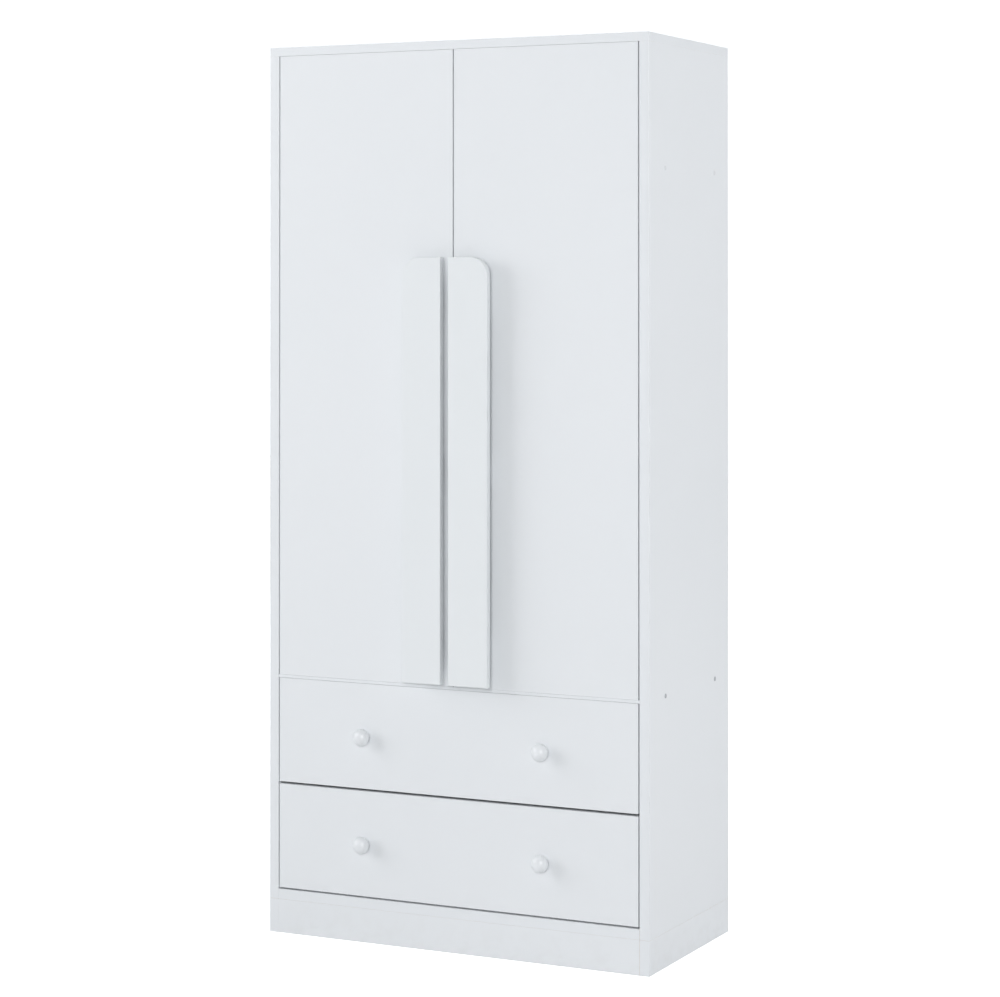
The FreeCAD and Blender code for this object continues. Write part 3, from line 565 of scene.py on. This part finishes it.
class Pattern(Graph):
    """A geometry node tree with named inputs; it grows one plain mesh a body."""

    def __init__(self, name, inputs):
        super().__init__(bpy.data.node_groups.new(name, "GeometryNodeTree"))
        face = self.tree.interface
        self.ids = {word: face.new_socket(word, in_out="INPUT",
                                          socket_type=f"NodeSocket{kind}").identifier
                    for word, kind in ({"Places": "Geometry"} | inputs
                                       | {"Seed": "Int", "Finish": "Material"}).items()}
        face.new_socket("Pieces", in_out="OUTPUT", socket_type="NodeSocketGeometry")
        self.given = self.tree.nodes.new("NodeGroupInput")

    def __getitem__(self, word):
        return Socket(self, self.given.outputs[word])

    def turned(self, stations, segments, flutes=0, cut=0.0):
        """A closed solid of revolution about Z from (height, radius) stations, fluted or not."""
        rows = len(stations)
        grid = self.node("GeometryNodeMeshGrid", None,
                         {"Size X": 1.0, "Size Y": 1.0, "Vertices X": segments + 1,
                          "Vertices Y": rows})
        x, y, _ = self.split(self.node("GeometryNodeInputPosition"))
        row = ((y + 0.5) * (rows - 1) + 0.5).math("FLOOR")
        height, radius = (self.node("GeometryNodeIndexSwitch",
                                    {"data_type": "FLOAT", "items": rows},
                                    {0: row} | {i + 1: value for i, value in enumerate(column)})
                          for column in zip(*stations))
        if flutes:
            wave = (x * (WHOLE_TURN * flutes)).math("COSINE") * 0.5 + 0.5
            radius = radius * (1 - wave * cut)
        return self.revolve(grid, x, height, radius)

    def revolve(self, grid, x, height, radius):
        """Wraps a grid round Z at the given heights and radii, and joins its seam and ends."""
        seam = MM / 200
        angle = x * WHOLE_TURN
        place = self.vector(angle.math("COSINE") * radius, angle.math("SINE") * radius, height)
        moved = self.node("GeometryNodeSetPosition", None, {"Geometry": grid, "Position": place})
        return self.node("GeometryNodeMergeByDistance", None,
                         {"Geometry": moved, "Distance": seam})

    def scatter(self, piece, turn):
        """Copies of the piece at the places, each as its aim says and turned about itself."""
        aim = self.node("GeometryNodeInputNamedAttribute", {"data_type": "FLOAT_VECTOR"},
                        {"Name": "aim"})
        spin = self.node("FunctionNodeRandomValue", {"data_type": "FLOAT"},
                         {2: 0.0, 3: turn, 8: self["Seed"]}, out=1)
        facing = self.node("FunctionNodeRotateRotation", {"rotation_space": "LOCAL"},
                           {0: aim, 1: self.vector(0, 0, spin)})
        return self.node("GeometryNodeInstanceOnPoints", None,
                         {"Points": self["Places"], "Instance": piece, "Rotation": facing})

    def close(self, pieces):
        """Ends the tree: the pieces become one plain mesh with its finish."""
        real = self.node("GeometryNodeRealizeInstances", None, {0: pieces})
        done = self.node("GeometryNodeSetMaterial", None,
                         {"Geometry": real, "Material": self["Finish"]})
        self.tree.links.new(done.socket, self.tree.nodes.new("NodeGroupOutput").inputs[0])
        return self

    def grow(self, name, places, aims, finish, soften=35, **values):
        """Runs the tree on points that hold a place and an aim, as a plain piece."""
        points = bpy.data.meshes.new(name)
        points.from_pydata([tuple(p) for p in places], [], [])
        turns = points.attributes.new("aim", "FLOAT_VECTOR", "POINT")
        for item, aim in zip(turns.data, aims):
            item.vector = Vector(aim).to_track_quat("Z", "Y").to_euler()
        holder = bpy.data.objects.new(f"{name}_places", points)
        bpy.context.scene.collection.objects.link(holder)
        modifier = holder.modifiers.new("pattern", "NODES")
        modifier.node_group = self.tree
        for word, value in (values | {"Finish": finish}).items():
            modifier[self.ids[word.replace("_", " ")]] = value
        graph = bpy.context.evaluated_depsgraph_get()
        mesh = bpy.data.meshes.new_from_object(holder.evaluated_get(graph))
        bpy.data.objects.remove(holder)
        mesh.name = name
        return to_piece(name, mesh, (), soften)


def fastener_pattern():
    """A chamfered head on a shank in one turned solid, with a cross recess cut in the head."""
    p = Pattern("fasteners", {"Head Radius": "Float", "Head Height": "Float", "Edge": "Float",
                              "Shank Radius": "Float", "Shank Length": "Float",
                              "Recess": "Float"})
    head, tall, edge = p["Head Radius"], p["Head Height"], p["Edge"]
    shank, tip = p["Shank Radius"], p["Shank Length"] * -1
    taper = shank.math("MINIMUM", p["Shank Length"] * 0.7)
    solid = p.turned(((tip, 0.0), (tip, shank * 0.3), (tip + taper, shank), (0.0, shank),
                      (0.0, head), (tall - edge, head), (tall - edge * 0.3, head - edge * 0.3),
                      (tall, head - edge), (tall, 0.0)), segments=32)
    # The second bar is a little shallower, so that no two of their faces lie in one plane.
    size = p["Recess"]
    slim, deep, shallow = (size * share for share in (0.22, 0.5, 0.45))
    bars = [p.node("GeometryNodeMeshCube", None, {"Size": p.vector(*sides)})
            for sides in ((size, slim, deep), (slim, size, shallow))]
    cross = p.node("GeometryNodeMeshBoolean", {"operation": "UNION", "solver": "MANIFOLD"},
                   {1: bars})
    cross = p.node("GeometryNodeTransform", None,
                   {"Geometry": cross, "Translation": p.vector(0.0, 0.0, tall)})
    cut = p.node("GeometryNodeMeshBoolean", {"operation": "DIFFERENCE", "solver": "MANIFOLD"},
                 {0: solid, 1: cross})
    plain = p.node("FunctionNodeCompare", {"data_type": "FLOAT", "operation": "LESS_THAN"},
                   {0: size, 1: MM / 10})
    chosen = p.node("GeometryNodeSwitch", {"input_type": "GEOMETRY"},
                    {0: plain, 1: cut, 2: solid})
    return p.close(p.scatter(chosen, WHOLE_TURN))


def knob_pattern():
    """A flattened ball that runs into a flared neck: one smooth rule gives its radius."""
    p = Pattern("turned_knobs", {"Height": "Float", "Ball Radius": "Float",
                                 "Ball Centre": "Float", "Ball Half": "Float",
                                 "Neck Radius": "Float", "Flare": "Float",
                                 "Flare Height": "Float", "Blend": "Float"})
    rows, segments, along_per_metre = 72, 72, 30
    grid = p.node("GeometryNodeMeshGrid", None, {"Size X": 1.0, "Size Y": 1.0,
                                                 "Vertices X": segments + 1, "Vertices Y": rows})
    x, y, _ = p.split(p.node("GeometryNodeInputPosition"))
    share = y + 0.5
    step = ((share * (rows - 1) - 1) / (rows - 2)).math("MAXIMUM", 0.0)
    height = p["Height"] * 0.5 * (1 - (step * math.pi).math("COSINE"))
    off = (height - p["Ball Centre"]) / p["Ball Half"]
    ball = p["Ball Radius"] * (1 - off * off).math("MAXIMUM", 0.0).math("SQRT")
    rise = (1 - height / p["Flare Height"]).math("MAXIMUM", 0.0)
    neck = p["Neck Radius"] + p["Flare"] * rise * rise
    below = height.math("LESS_THAN", p["Ball Centre"])
    joined = ball.math("SMOOTH_MAX", neck, p["Blend"]) * below + ball * (1 - below)
    open_row = (share * (rows - 1)).math("MINIMUM", 1.0)
    turned = p.revolve(grid, x, height, joined * open_row)
    marked = p.node("GeometryNodeStoreNamedAttribute", {"data_type": "FLOAT"},
                    {"Geometry": turned, "Name": "along",
                     "Value": p.split(p.node("GeometryNodeInputPosition"))[2]
                     * along_per_metre})
    return p.close(p.scatter(marked, WHOLE_TURN))


def pin_pattern(name, flutes=0):
    """A round pin with chamfered ends; flutes run along it where a number is given."""
    p = Pattern(name, {"Radius": "Float", "Length": "Float", "Chamfer": "Float",
                       "Flute Depth": "Float"})
    radius, tall, edge = p["Radius"], p["Length"], p["Chamfer"]
    slim = radius - edge
    pin = p.turned(((0.0, 0.0), (0.0, slim), (edge, radius), (tall - edge, radius),
                    (tall, slim), (tall, 0.0)), segments=4 * flutes or 24, flutes=flutes,
                   cut=p["Flute Depth"])
    return p.close(p.scatter(pin, WHOLE_TURN))


def cup_pattern():
    """A pressed cup: one wall that runs from the floor, up the side and out into a flange."""
    p = Pattern("pressed_cups", {"Radius": "Float", "Depth": "Float", "Wall": "Float",
                                 "Flange Width": "Float", "Flange Height": "Float",
                                 "Bend": "Float"})
    radius, wall, up, bend = p["Radius"], p["Wall"], p["Flange Height"], p["Bend"]
    floor, bore, rim = p["Depth"] * -1, radius - wall, radius + p["Flange Width"]
    roll = up * 0.5
    stations = ((floor, 0.0), (floor, radius - bend), (floor + bend * 0.3, radius - bend * 0.3),
                (floor + bend, radius), (0.0, radius), (0.0, rim), (roll, rim),
                (up, rim - roll), (up, bore + roll), (roll, bore),
                (floor + wall + bend, bore), (floor + wall + bend * 0.3, bore - bend * 0.3),
                (floor + wall, bore - bend), (floor + wall, 0.0))
    return p.close(p.scatter(p.turned(stations, segments=72), turn=0.0))


def socket_pattern():
    """A cast rail socket: a flat flange, a chamfer and a ring that holds the rail's end."""
    p = Pattern("rail_sockets", {"Flange Radius": "Float", "Flange Height": "Float",
                                 "Ring Radius": "Float", "Ring Height": "Float",
                                 "Bore": "Float", "Edge": "Float"})
    flange, thick, ring = p["Flange Radius"], p["Flange Height"], p["Ring Radius"]
    tall, bore, edge = p["Ring Height"], p["Bore"], p["Edge"]
    stations = ((0.0, 0.0), (0.0, flange), (thick - edge, flange),
                (thick - edge * 0.3, flange - edge * 0.3), (thick, flange - edge),
                (thick, ring + edge), (thick + edge * 0.3, ring + edge * 0.3),
                (thick + edge, ring), (tall - edge, ring),
                (tall - edge * 0.3, ring - edge * 0.3), (tall, ring - edge),
                (tall, bore + edge), (tall - edge, bore), (thick, bore), (thick, 0.0))
    return p.close(p.scatter(p.turned(stations, segments=96), turn=0.0))


def tube_pattern():
    """A round tube with its ends eased inside and out."""
    p = Pattern("tubes", {"Radius": "Float", "Wall": "Float", "Length": "Float",
                          "Edge": "Float"})
    radius, tall, edge = p["Radius"], p["Length"], p["Edge"]
    bore = radius - p["Wall"]
    stations = ((edge, bore), (0.0, bore + edge), (0.0, radius - edge), (edge, radius),
                (tall - edge, radius), (tall, radius - edge), (tall, bore + edge),
                (tall - edge, bore), (edge, bore))
    return p.close(p.scatter(p.turned(stations, segments=96), turn=0.0))


FASTENERS, KNOBS = fastener_pattern(), knob_pattern()
CUPS, SOCKETS, TUBES = cup_pattern(), socket_pattern(), tube_pattern()
PINS, DOWELS = pin_pattern("hinge_pins"), pin_pattern("fluted_dowels", 18)


def aim_of(axis, way):
    """The vector that runs one way, 1 or -1, along an axis."""
    aim = [0, 0, 0]
    aim["xyz".index(axis)] = way
    return aim


def fasteners(node, name, finish, axis, facing, head_height, shank_radius, recess=0.0,
              edge=0.3 * MM, seed=1):
    """Fasteners in the places of a node's solids.

    facing gives the way a head faces along the axis, from the middle of its solid."""
    places, aims = [], []
    i = "xyz".index(axis)
    for low, high in islands(node):
        middle = (low + high) / 2
        way = facing(middle)
        seat = middle.copy()
        seat[i] = (high[i] if way > 0 else low[i]) - way * head_height
        places.append(seat)
        aims.append(aim_of(axis, way))
    across = next(k for k in range(3) if k != i)
    values = {"Head_Radius": (high[across] - low[across]) / 2, "Head_Height": head_height,
              "Edge": edge, "Shank_Radius": shank_radius,
              "Shank_Length": max(high[i] - low[i] - head_height, 0.2 * MM),
              "Recess": recess, "Seed": seed}
    piece = FASTENERS.grow(name, places, aims, finish, **values)
    return stand_for(piece, node)


def inward(middle):
    return -1 if middle.x > 0 else 1


def outward(middle):
    return 1 if middle.x > 0 else -1


def onward(middle):
    """The plus way of the axis, wherever the solid stands."""
    return 1


def hardware():
    """Every screw, bolt, lock, cap and nail, in the places where the joints need them."""
    thin_shank, thick_shank, bolt_shank = 1.6 * MM, 2 * MM, 3 * MM
    low_head, tall_head = 1.4 * MM, 2.4 * MM
    fasteners("hinge_plate_screws", "plate_screws", STEEL, "x", inward, low_head, thin_shank,
              recess=3.4 * MM, seed=3)
    fasteners("rail_socket_screws", "socket_screws", STEEL, "x", inward, low_head, thin_shank,
              recess=2.6 * MM, seed=4)
    fasteners("runner_screws", "rail_screws", STEEL, "x", inward, 0.24 * MM, thin_shank,
              edge=0.1 * MM, seed=5)
    fasteners("shelf_screws", "fixing_screws", STEEL, "x", outward, tall_head, thick_shank,
              recess=4 * MM, seed=6)
    fasteners("screw_caps", "cover_caps", PLASTIC, "x", outward, 0.8 * MM, bolt_shank,
              edge=0.5 * MM, seed=7)
    fasteners("cam_locks", "cams", CASTING, "x", inward, 12.4 * MM, bolt_shank,
              recess=6 * MM, edge=0.5 * MM, seed=8)
    fasteners("cam_bolts", "cam_pins", STEEL, "z", onward, 4 * MM, bolt_shank, seed=9)
    fasteners("back_nails", "nails", STEEL, "y", onward, 0.6 * MM, 1 * MM, edge=0.2 * MM,
              seed=11)
    front_sets = [(f"{side}_handle_screws", f"{side}_pull_screws", 12) for side in SIDES]
    front_sets += [(f"{level}_knob_screws", f"{level}_front_screws", 13) for level in LEVELS]
    for node, name, seed in front_sets:
        fasteners(node, name, STEEL, "y", onward, tall_head, thick_shank,
                  recess=4.4 * MM, edge=0.8 * MM, seed=seed)


def dowels():
    """Fluted dowels, each along its own hole."""
    places, aims = [], []
    for low, high in islands("dowels"):
        along = max(range(3), key=lambda i: high[i] - low[i])
        start = (low + high) / 2
        start[along] = low[along]
        places.append(start)
        aims.append(aim_of("xyz"[along], 1))
    length = max(high - low)
    pins = DOWELS.grow("fluted_dowels", places, aims, BEECH, Radius=min(high - low) / 2,
                       Length=length, Chamfer=1.2 * MM, Flute_Depth=0.07, Seed=10)
    stand_for(pins, "dowels")


def knobs():
    """Two turned knobs on each drawer front."""
    half = 14 * MM
    for level in LEVELS:
        low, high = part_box(f"{level}_drawer_knobs")
        radius, tall = (high.z - low.z) / 2, high.y - low.y
        places = [(x, high.y, (low.z + high.z) / 2) for x in (low.x + radius, high.x - radius)]
        pair = KNOBS.grow(f"{level}_knobs", places, [(0, -1, 0)] * 2, KNOB, soften=60,
                          Height=tall, Ball_Radius=radius, Ball_Centre=tall - half,
                          Ball_Half=half, Neck_Radius=7.5 * MM, Flare=2 * MM,
                          Flare_Height=5 * MM, Blend=3 * MM, Seed=2)
        stand_for(pair, f"{level}_drawer_knobs")


# ---------------------------------------------------------------- hinges
def hinges():
    """Pressed cups and pins in the doors; plates, cranked arms and their screws on the sides."""
    flange, lip, wall = 3 * MM, 0.8 * MM, 1 * MM
    for side in SIDES:
        joint = next(j for j in frame["record"]["behaviour"]["joints"]
                     if j["name"] == f"{side}_door_hinge")
        cups = islands(f"{side}_hinge_cups")
        seats = [((low.x + high.x) / 2, high.y - lip, (low.z + high.z) / 2)
                 for low, high in cups]
        low, high = cups[0]
        radius = (high.x - low.x) / 2 - flange
        pressed = CUPS.grow(f"{side}_cups", seats, [(0, 1, 0)] * len(seats), STEEL,
                            Radius=radius, Depth=high.y - lip - low.y, Wall=wall,
                            Flange_Width=flange, Flange_Height=lip, Bend=1.5 * MM, Seed=1)
        stand_for(pressed, f"{side}_hinge_cups")
        pin_x, pin_y, _ = joint["pos_m"]
        half = math.sqrt(radius ** 2 - (seats[0][0] - pin_x) ** 2) - wall / 2
        pins = PINS.grow(f"{side}_hinge_pins", [(pin_x, pin_y, z - half) for _, _, z in seats],
                         [(0, 0, 1)] * len(seats), STEEL, Radius=1.5 * MM, Length=2 * half,
                         Chamfer=0.3 * MM, Flute_Depth=0.0, Seed=1)
        stand_for(pins, f"{side}_hinge_cups")
    eased("hinge_plates", "mounting_plates", PLATE_EASE, ALL_STEEL, shortest=1.5 * MM)
    eased("hinge_arms", "hinge_straps", STRAP_EASE, ALL_STEEL, shortest=1.5 * MM)
    places, aims, strap = [], [], 2 * MM
    for low, high in islands("hinge_arms"):
        way = -1 if low.x < 0 else 1
        face = (low.x if way < 0 else high.x) - way * strap
        for from_back in (9 * MM, 27 * MM):
            places.append((face, high.y - from_back, (low.z + high.z) / 2))
            aims.append((-way, 0, 0))
    adjusters = FASTENERS.grow("adjusting_screws", places, aims, STEEL, Head_Radius=3 * MM,
                               Head_Height=1.2 * MM, Edge=0.3 * MM, Shank_Radius=1.5 * MM,
                               Shank_Length=1.5 * MM, Recess=3 * MM, Seed=14)
    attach(adjusters, BODY_OF["hinge_arms"])


# ---------------------------------------------------------------- runners and hanging rail
def runners():
    """The nested channels of the runners; only their long edges are eased."""
    channels = [("outer_rails", "fixed_rails")]
    for level in LEVELS:
        channels += [(f"{level}_middle_rails", f"{level}_sliding_rails"),
                     (f"{level}_inner_rails", f"{level}_box_rails")]
    for node, name in channels:
        eased(node, name, CHANNEL_EASE, ALL_STEEL, shortest=20 * MM)


def rail():
    """The tube that hangers hook on, and the cast sockets that hold its ends."""
    low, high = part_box("hanging_rail")
    radius, middle = (high.z - low.z) / 2, (Vector(low) + Vector(high)) / 2
    tube = TUBES.grow("rail_tube", [(low.x, middle.y, middle.z)], [(1, 0, 0)], TUBE,
                      Radius=radius, Wall=1.2 * MM, Length=high.x - low.x, Edge=0.3 * MM, Seed=1)
    stand_for(tube, "hanging_rail")
    first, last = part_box("hanging_rail_sockets")
    seat_low, seat_high = islands("hanging_rail_sockets")[0]
    ring_wall, play = 2.4 * MM, 0.15 * MM
    cast = SOCKETS.grow("rail_sockets", [(x, middle.y, middle.z) for x in (first.x, last.x)],
                        [(1, 0, 0), (-1, 0, 0)], CASTING,
                        Flange_Radius=(seat_high.z - seat_low.z) / 2, Flange_Height=3 * MM,
                        Ring_Radius=radius + ring_wall, Ring_Height=seat_high.x - seat_low.x,
                        Bore=radius + play, Edge=0.6 * MM, Seed=1)
    stand_for(cast, "hanging_rail_sockets")


studio()
boards()
pull_boards()
knobs()
hardware()
dowels()
hinges()
runners()
rail()
lay_floor()
